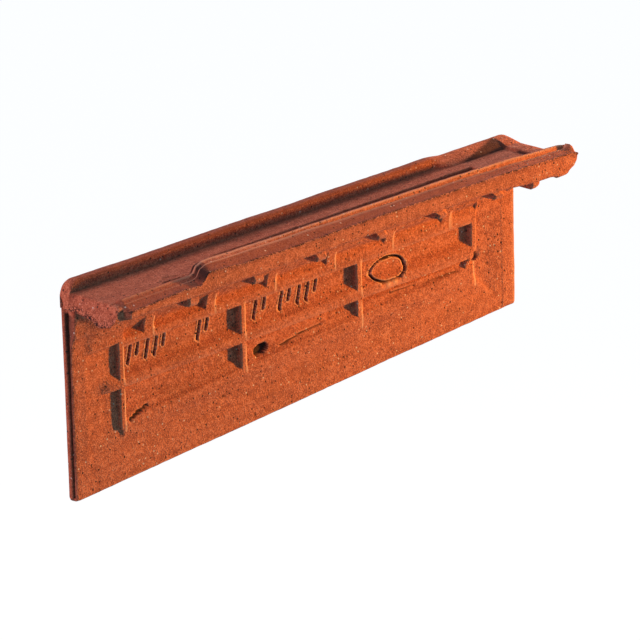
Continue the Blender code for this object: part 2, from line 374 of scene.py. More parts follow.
def under_skew(x):
    """The shift along X of each row under the flange, so that the ribs run a little askew."""
    total, most = UNDER_STEPS + COVE_STEPS, rib_skew(x)
    fade_out = [1.0 - smooth((row - 3.0) / (total - 3.0)) for row in range(total + 1)]
    return [most * smooth(row / 2.0) * fade for row, fade in enumerate(fade_out)]


# --- the inner face -----------------------------------------------------------------------------------


def face_lines(x):
    """Heights of the inner face's rows at x: close together at each edge of the relief."""
    top = [line(TOP_RAIL[0], x), line(TOP_RAIL[1], x)]
    middle = [line(MIDDLE_RAIL[0], x), line(MIDDLE_RAIL[1], x)]
    ledge = line(LEDGE, x)
    foot_rail = [line(FOOT_RAIL[0], x), line(FOOT_RAIL[1], x)]
    margin, foot = line(MARGIN, x), foot_height(x)
    ledge = min(ledge, middle[1] - 3.4)
    foot_rail[0] = min(foot_rail[0], ledge - 3.0)
    foot_rail[1] = min(foot_rail[1], foot_rail[0] - 3.0)
    rows = span(FACE_TOP - 1.1, top[0] + 4.4, 8)
    rows += span(top[0] + 3.4, top[0] - 0.6, 5)
    rows += [mix(top[0] - 0.8, top[1], 0.5), top[1] + 0.3, top[1] - 0.3, top[1] - 0.9, top[1] - 1.5]
    rows += span(top[1] - 2.2, -67.6, 21)
    rows += span(-68.6, middle[0] - 0.6, 6)
    rows += [mix(middle[0], middle[1], 0.4)] + [middle[1] + off for off in (0.4, -0.2, -0.8, -1.5)]
    rows += span(middle[1] - 2.6, ledge + 0.7, 6)
    rows += span(ledge, ledge - 2.8, 3) + span(ledge - 3.8, foot_rail[0] + 3.4, 2)[:2]
    rows += span(foot_rail[0] + 2.6, foot_rail[0] - 0.6, 4)
    rows += [mix(foot_rail[0], foot_rail[1], 0.5), foot_rail[1] + 0.4, foot_rail[1] - 0.8]
    rows += span(foot_rail[1] - 2.4, margin + 8.0, 9)
    rows += span(margin + 6.8, margin - 1.2, 6)
    rows += span(margin - 3.0, foot + 2.2, 5)
    kept = [rows[0]]
    for z in rows[1:]:
        kept.append(min(z, kept[-1] - 0.12))
    return kept


def crest_y(z):
    """The ladder's crest, which comes forward above the top rail to meet the cove."""
    return CREST_Y - 3.4 * min(max((z + 44.0) / (FACE_TOP + 44.0), 0.0), 1.0) ** 1.6


def quarter(t):
    """A rounded shoulder: 1 at the crest, falling ever more steeply to 0."""
    t = min(max(t, 0.0), 1.0)
    return math.sqrt(1.0 - t * t)


def panel_y(x, z):
    """The recessed surface that the ladder stands on, with its mitred corners."""
    tail = mix(-7.6, TAIL_PANEL_Y, smooth((x - 18.0) / 16.0))
    tail = mix(tail, crest_y(z), smooth((z + 50.6) / 7.4))
    head = HEAD_PANEL_Y - 4.3 * min(max((z + 57.0) / 24.0, 0.0), 1.0) ** 1.5
    head = mix(head, HEAD_MARGIN_Y + 0.7, smooth((x - 409.0) / 24.0))
    y = mix(mix(tail, PANEL_Y, smooth((x - 44.0) / 2.0)), head, smooth((x - 399.5) / 2.0))
    foot = line(FOOT_RAIL[1], x) - 0.5
    below_tail = (-(z + 106.0) - 0.5 * (44.0 - x)) / 6.0
    below_head = (-(z + 92.0) - 0.98 * (x - 402.0)) / 1.40
    below = foot - z
    if x < 44.0:
        below = below_tail
    elif x > 402.0:
        below = below_head
    return mix(y, BOTTOM_PANEL_Y, smooth(below / 3.0 + 0.3))


def upright_mask(x, z, index):
    start, end = UPRIGHTS[index]
    run_out = 3.6
    if index == 3:
        shift = 7.4 * smooth((-74.5 - z) / 8.0)
        start, end, run_out = start - shift, end - shift, 1.3
    if x < start:
        return smooth(1.0 - (start - x) / 0.8)
    if x > end:
        return quarter((x - end) / run_out)
    return 1.0


def ladder_mask(x, z):
    """How far the ladder stands out of its panels at a point: 1 at the crest."""
    inside = smooth((x - 44.5) / 1.5) * smooth((401.0 - x) / 1.5)
    top_low = line(TOP_RAIL[1], x)
    heights = [smooth((z - top_low) / 1.3 + 1.0) * inside]
    middle = ramp((line(MIDDLE_RAIL[0], x) + 7.0 - z) / 7.0)
    middle *= smooth((z - line(MIDDLE_RAIL[1], x)) / 1.1 + 1.0)
    heights.append(middle * max(inside, smooth((x - 23.0) / 14.0) * (1.0 if x < 44.5 else 0.0)))
    ledge, foot_top = line(LEDGE, x), line(FOOT_RAIL[0], x)
    ledge = max(ledge, foot_top + 3.0)
    rise = 0.40 * ramp((ledge - z) / 3.0) + 0.12 * ramp((ledge - 3.0 - z) / 3.0)
    rise += 0.48 * ramp((foot_top + 3.0 - z) / 3.0)
    foot_low = line(FOOT_RAIL[1], x)
    heights.append(rise * inside * (1.0 - smooth((foot_low - z) / 11.0)))
    ends = smooth((z - foot_low) / 1.4 + 1.0)
    for index in range(len(UPRIGHTS)):
        low = ends if index < 3 else smooth((z + 92.0) / 1.6 + 1.0)
        heights.append(upright_mask(x, z, index) * low)
    return max(heights)


def cell_depth(x, z):
    """How far a cell above the top rail sinks below the crest."""
    index = min(max(int((x - RIB_FIRST) / RIB_PITCH + 1.0), 0), RIBS)
    deep, begins = CELLS[index]
    if x > 403.0:
        return 0.0
    left = rib_middle(index - 1) + RIB_HALF if index else UPRIGHTS[0][1]
    right = rib_middle(index) - RIB_HALF
    foot, lip = line(TOP_RAIL[0], x) + 4.6, line(TOP_RAIL[0], x) - 0.4
    down = min(max((begins - z) / (begins - foot), 0.0), 1.0)
    back = 1.0 - ramp((foot - z) / (foot - lip))
    across = (1.0 - quarter((x - left) / 3.2)) * smooth((right - x) / 0.8)
    return deep * down * back * across if left < x < right else 0.0


def face_y(x, z):
    """The inner face's height field."""
    crest = crest_y(z)
    y = panel_y(x, z)
    y = mix(y, crest, ladder_mask(x, z))
    if z > line(TOP_RAIL[0], x) - 1.0:
        if x < 403.0:
            y = crest + cell_depth(x, z)
        y = mix(y, crest, smooth((z + 36.0) / 4.0))
    y = mix(y, min(TAIL_MARGIN_Y, crest + 1.3), 1.0 - smooth((x - 12.5) / 6.0))
    if x > 428.0:
        y = mix(y, HEAD_MARGIN_Y + 0.35, smooth((x - 430.4) / 1.2))
    margin = line(MARGIN, x)
    foot = smooth((margin + 6.5 - z) / 7.0) * (1.0 - 0.4 * smooth((margin - z) / 12.0))
    return mix(y, min(FOOT_MARGIN_Y, y), foot)


def face_rows(x):
    return [(face_y(x, z) + stroke_depth(x, z) + flaw_depth(x, z), z) for z in face_lines(x)]


# --- flaws of the pressing: creases where the clay folded, and pits ------------------------------------

CREASES = (
    ((52.0, -105.6), (71.0, -100.4), 0.8, 1.9),
    ((202.0, -92.4), (226.0, -89.0), 0.45, 1.3),
    ((226.0, -89.0), (243.0, -88.0), 0.35, 0.9),
    ((315.0, -83.8), (384.0, -84.0), 0.4, 0.9),
)
PITS = (
    (183.6, -90.8, 8.0, 3.4, 0.22, 3.6),
    (403.8, -78.6, 4.4, 3.4, 0.3, 4.2),
    (143.0, -114.7, 1.6, 1.5, 0.0, 1.4),
    (82.7, -92.6, 0.8, 1.6, 0.0, 1.2),
    (417.8, -86.3, 1.3, 1.3, 0.0, 1.6),
    (401.1, -111.4, 1.0, 1.0, 0.0, 1.0),
)


def flaw_depth(x, z):
    deepest = 0.0
    for a, b, half, deep in CREASES:
        if a[0] - 2.0 < x < b[0] + 2.0:
            deepest = max(deepest, deep * smooth((half + 0.45 - away_from((x, z), a, b)) / 0.7))
    for at_x, at_z, wide, tall, lean, deep in PITS:
        if abs(x - at_x) < wide + 1.0:
            out = math.hypot((x - at_x) / wide, (z - at_z - lean * (x - at_x)) / tall)
            deepest = max(deepest, deep * smooth((1.0 - out) * min(wide, tall) / 0.9))
    return deepest


# --- rows of plain strokes, and a plain oval, pressed into the upper panels ------------------------------

STROKE_HALF, STROKE_DEEP, STROKE_BURR = 1.15, 2.6, 0.6
STROKE_Z = (-54.6, -66.4)
STROKE_GROUPS = ((56.0, 8.4, 5), (123.0, 8.4, 2), (178.5, 9.6, 2), (204.0, 8.8, 5))
STROKE_LEAN = 3.0
OVAL = (313.8, -64.6, 17.5, 8.2)


def strokes():
    """Each stroke as its two ends: leaning bars, short and long by turns."""
    made = []
    for start, pitch, count in STROKE_GROUPS:
        for index in range(count):
            x = start + pitch * index
            top, bottom = STROKE_Z
            if index % 3 == 1:
                bottom = mix(top, bottom, 0.6)
            made.append(((x, bottom), (x + STROKE_LEAN * (top - bottom) / (STROKE_Z[0] - STROKE_Z[1]), top)))
    return made


STROKES = strokes()


def away_from(point, a, b):
    """Distance from a point to the segment from a to b."""
    along_x, along_z = b[0] - a[0], b[1] - a[1]
    t = ((point[0] - a[0]) * along_x + (point[1] - a[1]) * along_z) / (along_x**2 + along_z**2)
    t = min(max(t, 0.0), 1.0)
    return math.hypot(point[0] - a[0] - along_x * t, point[1] - a[1] - along_z * t)


def pressed(off):
    """Depth across a stroke: sunk in the middle, with a low burr of clay pushed up along its edge."""
    sunk = STROKE_DEEP * smooth((STROKE_HALF + 0.3 - off) / 0.7)
    return sunk - STROKE_BURR * smooth(1.0 - abs(off - STROKE_HALF - 0.8) / 0.7)


def stroke_depth(x, z):
    if not -76.0 < z < -51.0:
        return 0.0
    off = 9.0
    for a, b in STROKES:
        if a[0] - 3.0 < x < b[0] + 3.0:
            off = min(off, away_from((x, z), a, b))
    if abs(x - OVAL[0]) < OVAL[2] + 3.0:
        out = math.hypot((x - OVAL[0]) / OVAL[2], (z - OVAL[1]) / OVAL[3])
        off = min(off, abs(out - 1.0) * mix(OVAL[3], OVAL[2], abs(x - OVAL[0]) / OVAL[2]))
    return pressed(off)


# --- the whole section ----------------------------------------------------------------------------------


def outer_rows(x):
    """Round the foot and up the outer face."""
    foot, rim = foot_height(x), rim_height(x)
    rows = arc(-7.6, foot + 1.6, 1.6, 1.6, 180, 270, 3)
    rows += arc(-2.4, foot + 2.4, 2.4, 2.4, 270, 360, 4)
    return rows + [(0.0, z) for z in span(foot + 6.0, rim - 9.0, 12)]


def notched(x, y):
    """The lip's side, drawn in to the notch's line near the tail end."""
    if y > NOTCH_Y:
        return y
    return mix(NOTCH_Y, y, mix(0.05, 1.0, smooth((x - 4.6) / 4.0)))


def section(x):
    """The tile's outline across its length at x, as a closed ring of points."""
    top = outer_rows(x) + rim_rows(x) + floor_rows(x) + lip_rows(x) + skirt_rows(x)
    under, face = under_rows(x), face_rows(x)
    points = [(x, notched(x, y), z) for y, z in top]
    points += [(x + skew, notched(x, y), z) for (y, z), skew in zip(under, under_skew(x))]
    return points + [(x, y, z) for y, z in face]


# How many even rings the skin has, and the least gap left between any two. With many more rings the mesh
# passes 200,000 triangles.
EVEN_RINGS = 160
LEAST_GAP = 0.39
STROKE_PITCH = 0.72


def stations():
    """Where the skin has a ring: everywhere at an even pitch, and close together at each edge."""
    at = set()
    at.update(span(TAIL_FLAT, HEAD_FLAT, EVEN_RINGS))
    at.update(span(TAIL_FLAT, TAIL_FLAT + 9.0, 12))
    for start, end in UPRIGHTS[:3]:
        at.update(start + out for out in (-1.2, -0.8, -0.4, 0.0, 0.6))
        at.update(end + out for out in (0.0, 0.7, 1.4, 2.1, 2.8, 3.2, 3.5, 3.9))
    at.update(span(UPRIGHTS[3][0] - 9.0, UPRIGHTS[3][1] + 2.0, 22))
    for index in range(RIBS + 1):
        half = RIB_HALF if index < RIBS else NIB_HALF
        for side in (-1.0, 1.0):
            at.update(rib_middle(index) + side * (half + out) for out in (-0.8, 0.0, 0.3, 0.6, 0.9, 1.5))
    at.update(span(JOGGLE[0] - 1.0, JOGGLE[1] + 1.0, 14))
    at.update(span(RIM_DROP[0], RIM_DROP[1], 12))
    at.update(span(GROOVE[0], GROOVE[0] + 3.0, 4))
    at.update(span(GROOVE[1] - 1.5, GROOVE[1], 4))
    at.update(span(UPSTAND[0], UPSTAND[1] + 2.0, 8))
    for start, pitch, count in STROKE_GROUPS:
        end = start + pitch * (count - 1) + STROKE_LEAN
        at.update(span(start - 1.6, end + 1.6, int(pitch * count / STROKE_PITCH)))
    at.update(span(OVAL[0] - OVAL[2] - 1.6, OVAL[0] + OVAL[2] + 1.6, 48))
    at.update(span(CREASES[0][0][0] - 1.0, CREASES[0][1][0] + 1.0, 36))
    at.update(span(PITS[0][0] - PITS[0][2], PITS[0][0] + PITS[0][2], 20))
    kept = []
    for x in sorted(at):
        if not kept or x - kept[-1] > LEAST_GAP:
            kept.append(x)
    return kept


# Each ring round the tail: the nose's X and its share of the drop to the burr, and the apron's turn in
# degrees
NOSE_TURN = (
    (2.0, 0.015), (1.1, 0.06), (0.3, 0.15), (-0.4, 0.3), (-0.9, 0.48), (-1.5, 0.68), (-2.2, 0.88),
    (-2.6, 0.985), (-2.5, 1.0),
)
END_TURN = (15.0, 32.0, 50.0, 68.0, 90.0, 90.0, 90.0, 90.0, 90.0)
# The slot in the apron's end: its two sides and how deep it is
END_SLOT = (-5.0, -7.7, 3.0)
SLOT_RINGS = (0.0, 0.35, 1.0)


def tail_rings(ring):
    """The rings that close the tail: the flange rolls over to its burr, and the apron's end has a slot."""
    rings = []
    for step, ((nose_x, drop), turn) in enumerate(zip(NOSE_TURN, END_TURN)):
        sine, cosine = math.sin(math.radians(turn)), math.cos(math.radians(turn))
        again = section(max(nose_x, 0.0))
        made = []
        for index, ((x, y, z), (_, _, top_z)) in enumerate(zip(ring, again)):
            burr = table_value(TAIL_BURR, -y)
            if TOP_ROWS[0] <= index < TOP_ROWS[1]:
                out = mix(max(nose_x, 0.3), nose_x, smooth((-y - 0.5) / 9.0))
                made.append((out, y, top_z - (top_z - burr) * drop))
            elif TOP_ROWS[1] <= index and y < -31.0:
                under = smooth(step / 6.0)
                made.append((mix(2.6, -1.6, under), y, mix(z, burr - 0.5, smooth(drop * 1.1))))
            elif index < TOP_ROWS[0] and y > -1.5:
                low = z - max(z + 12.5, 0.0) * drop
                out = TAIL_FLAT * (1.0 - sine) - 0.5 * sine * smooth((z + 90.0) / 70.0)
                made.append((out, y - 3.0 * (1.0 - cosine), low))
            else:
                made.append((mix(TAIL_FLAT, 0.7, sine), y + 0.8 * (1.0 - cosine), z))
        rings.append(made)
    last = rings[-1]
    for deep in SLOT_RINGS:
        made = []
        for index, (x, y, z) in enumerate(last):
            top = TOP_ROWS[0] <= index < TOP_ROWS[1]
            slot = deep * smooth((-12.5 - z) / 1.5)
            narrow = smooth((-20.0 - z) / 60.0)
            if top and y > -11.0:
                made.append((x, mix(-5.0, -11.0, -y / 11.0), z))
            elif top or y < -31.0:
                made.append((x, y, z))
            elif index < TOP_ROWS[0]:
                low = z if z < -16.0 else -16.0 + (z + 16.0) * 0.15
                made.append((mix(x, END_SLOT[2], slot), END_SLOT[0] - 0.5 * narrow, low))
            else:
                made.append((mix(x, END_SLOT[2], slot), END_SLOT[1] + 0.3 * narrow, z))
        rings.append(made)
    return rings


def head_rings(ring):
    """The rings that round the head over, from a ring at HEAD_FLAT."""
    rings = []
    for step in span(0.0, 1.0, 10)[1:]:
        turn = step * math.pi / 2.0
        made = []
        again = section(mix(HEAD_FLAT, HEAD_END, math.sin(turn)))
        for (x, y, z), (_, new_y, new_z) in zip(ring, again):
            out = blend(-y, 38.0, 60.0, 0.0, HEAD_END_LIP - HEAD_END)
            flange = smooth((z + 40.0) / 25.0)
            cut = 8.0 * smooth((-1.0 - z) / 15.0) if y < -30.0 else 0.0
            flat = mix(HEAD_FLAT, APRON_LENGTH - HEAD_ROUND, min(step / 0.3, 1.0))
            curl = max(step - 0.3, 0.0) / 0.7 * math.pi / 2.0
            rounding = mix(HEAD_FLAT, HEAD_END + out - cut, math.sin(turn))
            px = mix(flat + HEAD_ROUND * math.sin(curl), rounding, flange)
            if z > UNDERSIDE - 1.0:
                made.append((px, new_y, new_z))
            else:
                inward = 2.0 * (1.0 - math.cos(curl)) * (1.0 if y < -5.0 else -1.0)
                made.append((px, y + inward, z))
        rings.append(made)
    return rings


CLAY_SEED = 7


def waver(x, y, z, strength):
    """The small unevenness of pressed clay, as an offset."""
    p = Vector((x, y, z))
    slow = noise.noise_vector(p * 0.021) * 0.35
    fine = noise.noise_vector(p * 0.14) * 0.16
    return (slow + fine) * strength


def ragged(x, y, z):
    """The torn edge of a burr, as an offset."""
    p = Vector((x, y, z))
    return noise.noise_vector(p * 0.55) * 0.75 + noise.noise_vector(p * 1.6) * 0.35


def mark_arris_and_hollow_shade(bm):
    """Marks each point that stands on a convex arris, and each that lies in a hollow, where painted shade
    darkens the colour.
    """
    arris = bm.verts.layers.float.new("arris")
    # How far a point lies in a hollow, for the painted shade there
    hollow_shade = bm.verts.layers.float.new("hollow_shade")
    bm.normal_update()
    for vert in bm.verts:
        bend, reach = 0.0, 0.0
        for edge in vert.link_edges:
            out = edge.other_vert(vert).co - vert.co
            bend += out.dot(vert.normal)
            reach += out.length
        bend /= max(reach, 1e-9)
        vert[arris] = smooth((-bend - 0.10) / 0.22)
        vert[hollow_shade] = smooth((bend - 0.10) / 0.25)


def painted_shade(index, x, y, z):
    """Painted shade: how far a point is darkened where shade falls: in the groove, the fold, the joggle, the
    far corner, the upstand's step, the tail's end face and its slot, the lip's tail end, and the strokes,
    creases and pits.
    """
    if TOP_ROWS[0] <= index < TOP_ROWS[1] and y > -47.0:
        # Painted shade in the groove and the fold, a painted shadow on the rim's inner wall by the head, and
        # painted shade on the upstand's step
        reach = mix(1.3, 7.5, (x - 384.0) / 46.0) * smooth((x - 382.0) / 6.0) * smooth((430.0 - x) / 1.5)
        corner = 0.0
        if reach > 0.5:
            corner = smooth(reach - z) * smooth((-4.0 - y) / 2.0) * smooth((y + 19.5) / 2.0)
        step = near(x, 427.6, 2.4) * smooth((-27.0 - y) / 4.0)
        return max(0.8 * smooth(groove_depth(x, y) / 0.7), smooth(slot_depth(x, y)), 0.9 * corner, step)
    # Painted shade on the joggle's facet, the lip's tail end, the slot in the apron's end and the end face
    # under the nose
    in_joggle = JOGGLE[0] - 3.0 < x < JOGGLE[1] + 3.0
    if LIP_ROWS[0] <= index < LIP_ROWS[1] and index not in HIGHLIGHT_ROWS and in_joggle:
        return near(x, 79.0, 8.5)
    if 2.0 < x < 9.5 and y < -49.0 and LIP_ROWS[0] < index < UNDER_ROW:
        return 0.45 * near(x, 6.8, 2.8)
    if x < TAIL_FLAT + 0.1 and z < -15.0 and -8.0 < y < (-7.2 if index >= TOP_ROWS[1] else -4.0):
        return mix(0.8, 0.5, smooth((-15.0 - z) / 90.0))
    if index >= TOP_ROWS[1] and x < 1.2 and -31.5 < y < -8.0:
        return mix(0.3, 0.45, smooth((z + 60.0) / 40.0))
    # Painted shade in the strokes, creases and pits
    if index >= TOP_ROWS[1] and z < -34.0:
        return max(smooth(stroke_depth(x, z)), smooth(flaw_depth(x, z) - 0.3))
    return 0.0


def near(value, middle, reach):
    return smooth(1.0 - abs(value - middle) / reach)


def highlit(index, x, z):
    """Painted highlight: where an arris is made pale on the side the key light falls on: the lip's two lines,
    the head side of each upright and rib, the head's rounded end and the raised edges of the strokes.
    """
    if index in HIGHLIGHT_ROWS:
        return mix(0.3, 0.6, smooth((x - 60.0) / 25.0)) * smooth((x - 8.0) / 3.0)
    if index < TOP_ROWS[1] or z > -20.0:
        return 0.0
    if x > APRON_LENGTH - HEAD_ROUND:
        return 0.3
    if z > -34.0:
        return 0.0
    line_x = 0.0
    if -113.0 < z < -50.0:
        gap = near(z, line(MIDDLE_RAIL[1], x), 5.0)
        line_x = max(near(x, end + 0.9, 1.3) for _, end in UPRIGHTS) * (1.0 - gap)
        if z < -101.0 and x >= 60.0:
            line_x = 0.0
    elif -50.0 < z < -36.0:
        line_x = max(near(x, rib_middle(rib) + RIB_HALF + 0.9, 1.3) for rib in range(RIBS))
    return max(line_x, 0.8 * smooth(-stroke_depth(x, z) / 0.4))


# Rows round a section, counted from the foot: which belong to the top, the lip, its front and its two lines
# with a painted highlight
COUNTS = [len(rows(100.0)) for rows in (outer_rows, rim_rows, floor_rows, lip_rows)]
TOP_ROWS = (COUNTS[0], sum(COUNTS))
BURR_ROW = sum(COUNTS) - 3
LIP_FRONT = (sum(COUNTS) - 9, sum(COUNTS) - 3)
LIP_ROWS = (sum(COUNTS[:3]), sum(COUNTS))
UNDER_ROW = sum(COUNTS) + len(skirt_rows(100.0))
HIGHLIGHT_ROWS = (sum(COUNTS) - 14, sum(COUNTS) - 13, sum(COUNTS) - 9)
RIM_WALL = (COUNTS[0] + 2, COUNTS[0] + 14)


def row_mask(index, middle, reach):
    return smooth(1.0 - abs(index - middle) / reach * 0.5)


def build_skin(name, unevenness):
    """The tile's whole skin: a ring drawn out through every station, then closed at both ends."""
    # Without a seed, the noise would differ from one run to the next
    noise.seed_set(CLAY_SEED)
    at = stations()
    first = section(at[0])
    bm = bmesh.new()
    row = bm.verts.layers.int.new("row")
    rough = bm.verts.layers.float.new("rough_edge")
    # Painted shade on the lip's front, the rim's inner wall and the lip's tail end
    shade = bm.verts.layers.float.new("lip_rim_shade")
    # Painted shade: how far each point is darkened where shade falls
    painted_shade_layer = bm.verts.layers.float.new("painted_shade")
    # Painted highlight on the arrises the key light falls on
    highlight_paint = bm.verts.layers.float.new("highlight_paint")
    ring = bmesh.ops.create_circle(bm, cap_ends=False, segments=len(first), radius=1.0)["verts"]
    for index, vert in enumerate(ring):
        vert[row] = index
        vert[rough] = row_mask(index, BURR_ROW, 1.2)
        vert[shade] = 1.0 if LIP_FRONT[0] <= index < LIP_FRONT[1] else 0.0
        vert.co = first[index]

    def draw_out(edges, points):
        made = bmesh.ops.extrude_edge_only(bm, edges=edges)["geom"]
        verts = {item for item in made if isinstance(item, bmesh.types.BMVert)}
        for vert in verts:
            vert.co = points[vert[row]]
        return [
            item
            for item in made
            if isinstance(item, bmesh.types.BMEdge) and item.verts[0] in verts and item.verts[1] in verts
        ]

    edges = tail = bm.edges[:]
    for x in at[1:]:
        edges = draw_out(edges, section(x))
    for points in head_rings(section(at[-1])):
        edges = draw_out(edges, points)
    bmesh.ops.contextual_create(bm, geom=edges)
    for points in tail_rings(first):
        tail = draw_out(tail, points)
    bmesh.ops.contextual_create(bm, geom=tail)
    bmesh.ops.triangulate(bm, faces=[face for face in bm.faces if len(face.verts) > 4])
    for vert in bm.verts:
        if vert.co.x < -1.2:
            vert[rough] = max(vert[rough], smooth((-1.2 - vert.co.x) / 1.0))
        x, y, z = vert.co
        # How much painted shade each point gets
        vert[painted_shade_layer] = min(painted_shade(vert[row], x, y, z), 1.0)
        # How much painted highlight each point gets
        vert[highlight_paint] = highlit(vert[row], x, z)
        # Painted shade: the lip's front fades in from the tail and lightens towards the head; the rim's inner
        # wall and the lip's tail end are darkened too
        vert[shade] *= smooth((x - 5.0) / 4.0)
        if RIM_WALL[0] < vert[row] < RIM_WALL[1]:
            vert[shade] = smooth((x - 4.0) / 10.0) * smooth((380.0 - x) / 30.0)
        vert[shade] *= 1.0 - 0.7 * smooth((x - 300.0) / 130.0) if x < APRON_LENGTH else 0.3
        if LIP_ROWS[0] <= vert[row] < LIP_FRONT[0] and x < 80.0:
            vert[shade] = 0.9 * smooth((x - 6.0) / 4.0) * smooth((84.0 - x) / 8.0)
        away = math.dist((x, y), KNOB[:2]) / KNOB[2]
        if TOP_ROWS[0] <= vert[row] < TOP_ROWS[1] and away < 1.0 and z > -1.0:
            vert.co.z += KNOB[3] * smooth((1.0 - away) * 1.8)
        vert.co += waver(*vert.co, unevenness) + ragged(*vert.co) * vert[rough]
        vert.co = place(*vert.co)
    bmesh.ops.recalc_face_normals(bm, faces=bm.faces)
    for face in bm.faces:
        face.smooth = True
    mark_arris_and_hollow_shade(bm)
    data = bpy.data.meshes.new(name)
    bm.to_mesh(data)
    bm.free()
    obj = bpy.data.objects.new(name, data)
    bpy.context.scene.collection.objects.link(obj)
    return obj


# --- fired clay -----------------------------------------------------------------------------------------


def add(tree, kind, inputs=None, **settings):
    """A node with its settings, and each input linked to a socket or set to a value."""
    node = tree.nodes.new(kind)
    for name, value in settings.items():
        setattr(node, name, value)
    for name, value in (inputs or {}).items():
        if isinstance(value, bpy.types.NodeSocket):
            tree.links.new(value, node.inputs[name])
        else:
            node.inputs[name].default_value = value
    return node


def maths(tree, operation, a, b):
    return add(tree, "ShaderNodeMath", {0: a, 1: b}, operation=operation).outputs[0]


def fade(tree, value, start, end, low=0.0, high=1.0):
    """A soft threshold."""
    ranged = {"Value": value, "From Min": start, "From Max": end, "To Min": low, "To Max": high}
    return add(tree, "ShaderNodeMapRange", ranged, interpolation_type="SMOOTHSTEP").outputs["Result"]


def mix_colour(tree, factor, a, b):
    node = add(tree, "ShaderNodeMix", data_type="RGBA")
    for index, value in ((0, factor), (6, a), (7, b)):
        if isinstance(value, bpy.types.NodeSocket):
            tree.links.new(value, node.inputs[index])
        else:
            node.inputs[index].default_value = value
    return node.outputs[2]


def group_with(name, inputs, outputs):
    tree = bpy.data.node_groups.new(name, "ShaderNodeTree")
    for label, kind in inputs:
        tree.interface.new_socket(label, in_out="INPUT", socket_type=kind)
    for label, kind in outputs:
        tree.interface.new_socket(label, in_out="OUTPUT", socket_type=kind)
    return tree, tree.nodes.new("NodeGroupInput").outputs, tree.nodes.new("NodeGroupOutput").inputs


# Dark specks along the torn burr and the nose's rolled edge
BURR_SPECKS = (0.050, 0.017, 0.011, 1.0)
# The dark colour of the painted shade in recesses
SHADE_COLOUR = (0.030, 0.011, 0.008, 1.0)
PIT_SHADE = (0.06, 0.025, 0.018, 1.0)
FLECK = (0.86, 0.60, 0.45, 1.0)
# The colour of the painted highlight on lit arrises
HIGHLIGHT_TINT = (0.95, 0.42, 0.24, 1.0)
PAPER = (0.970, 0.970, 0.985, 1.0)
LAYERS = (
    ("Arris", "arris"), ("Hollow Shade", "hollow_shade"), ("Lip Rim Shade", "lip_rim_shade"), ("Burr", "rough_edge"),
    ("Painted Shade", "painted_shade"), ("Highlight Paint", "highlight_paint"),
)


def noise_factor(tree, where, scale, detail, roughness):
    inputs = {"Vector": where, "Scale": scale, "Detail": detail, "Roughness": roughness}
    return add(tree, "ShaderNodeTexNoise", inputs).outputs["Fac"]


def clay_grain_group():
    """Sandy grain, open pits and pale grog flecks, and slow mottling of the fired body."""
    tree, given, out = group_with(
        "clay_grain",
        [("Vector", "NodeSocketVector")],
        [(label, "NodeSocketFloat") for label in ("Grain", "Pits", "Flecks", "Mottle", "Drag")],
    )
    where = given["Vector"]
    sand = maths(tree, "MULTIPLY", noise_factor(tree, where, 900.0, 1.0, 0.8), 0.65)
    lumps = maths(tree, "MULTIPLY", noise_factor(tree, where, 240.0, 2.0, 0.6), 0.35)
    tree.links.new(maths(tree, "ADD", sand, lumps), out["Grain"])
    for label, channel, scale, reach, share in (
        ("Pits", "Red", 330.0, 0.30, 0.80),
        ("Flecks", "Blue", 300.0, 0.26, 0.87),
    ):
        cells = add(tree, "ShaderNodeTexVoronoi", {"Vector": where, "Scale": scale, "Randomness": 1.0})
        chance = add(tree, "ShaderNodeSeparateColor", {"Color": cells.outputs["Color"]}).outputs[channel]
        spot = fade(tree, cells.outputs["Distance"], reach, reach * 0.45)
        tree.links.new(maths(tree, "MULTIPLY", spot, maths(tree, "GREATER_THAN", chance, share)), out[label])
    tree.links.new(noise_factor(tree, where, 26.0, 4.0, 0.6), out["Mottle"])
    stretch = {"Vector": where, "Scale": (0.12, 1.0, 1.0), "Rotation": (0.0, 0.06, 0.0)}
    drawn = add(tree, "ShaderNodeMapping", stretch).outputs[0]
    tree.links.new(noise_factor(tree, drawn, 210.0, 3.0, 0.55), out["Drag"])
    return tree


